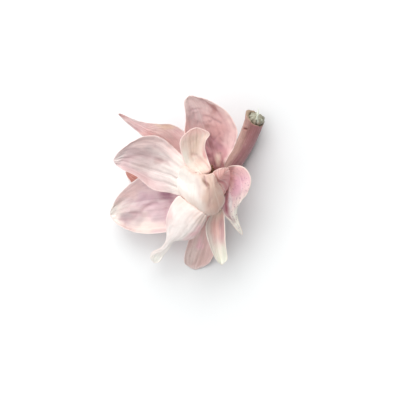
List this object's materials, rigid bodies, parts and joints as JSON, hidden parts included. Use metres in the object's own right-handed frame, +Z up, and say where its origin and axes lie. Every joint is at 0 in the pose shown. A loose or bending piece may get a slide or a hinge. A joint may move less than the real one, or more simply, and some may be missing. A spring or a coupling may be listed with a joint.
{
  "type": "cut saucer magnolia bloom on a short stem",
  "caption": "Open saucer magnolia bloom with long curling tepals round a pistil column, on a short thick cut stem, lying on a surface.",
  "frame": {"origin": "on the surface that the bloom lies on, under the middle of its box", "axes": "+Z up from the surface, towards the viewer who looks straight down on the open bloom; +Y from the lowest tepal to the top one; +X to the right, where the cut stem points up and away"},
  "size_m": [0.1058, 0.1185, 0.0634],
  "materials": {
    "bark": "matte",
    "cut_wood": "matte",
    "pistil": "matte",
    "stamen": "matte",
    "petal_dusty": "satin",
    "petal_pale": "satin",
    "petal_white": "satin"
  },
  "bodies": {
    "root": {"stem_bark": "bark", "stem_wood": "cut_wood", "pistil_column": "pistil", "stamen_ring": "stamen", "tepal_top": "petal_dusty", "tepal_left_upper": "petal_dusty", "tepal_left_middle": "petal_pale", "tepal_left_lower": "petal_pale", "tepal_outer_left": "petal_dusty", "tepal_front": "petal_white", "tepal_bottom": "petal_dusty", "tepal_boat": "petal_dusty", "tepal_right": "petal_dusty", "tepal_cup": "petal_white", "tepal_belly": "petal_white", "tepal_inner_right": "petal_dusty"}
  },
  "joints": []
}
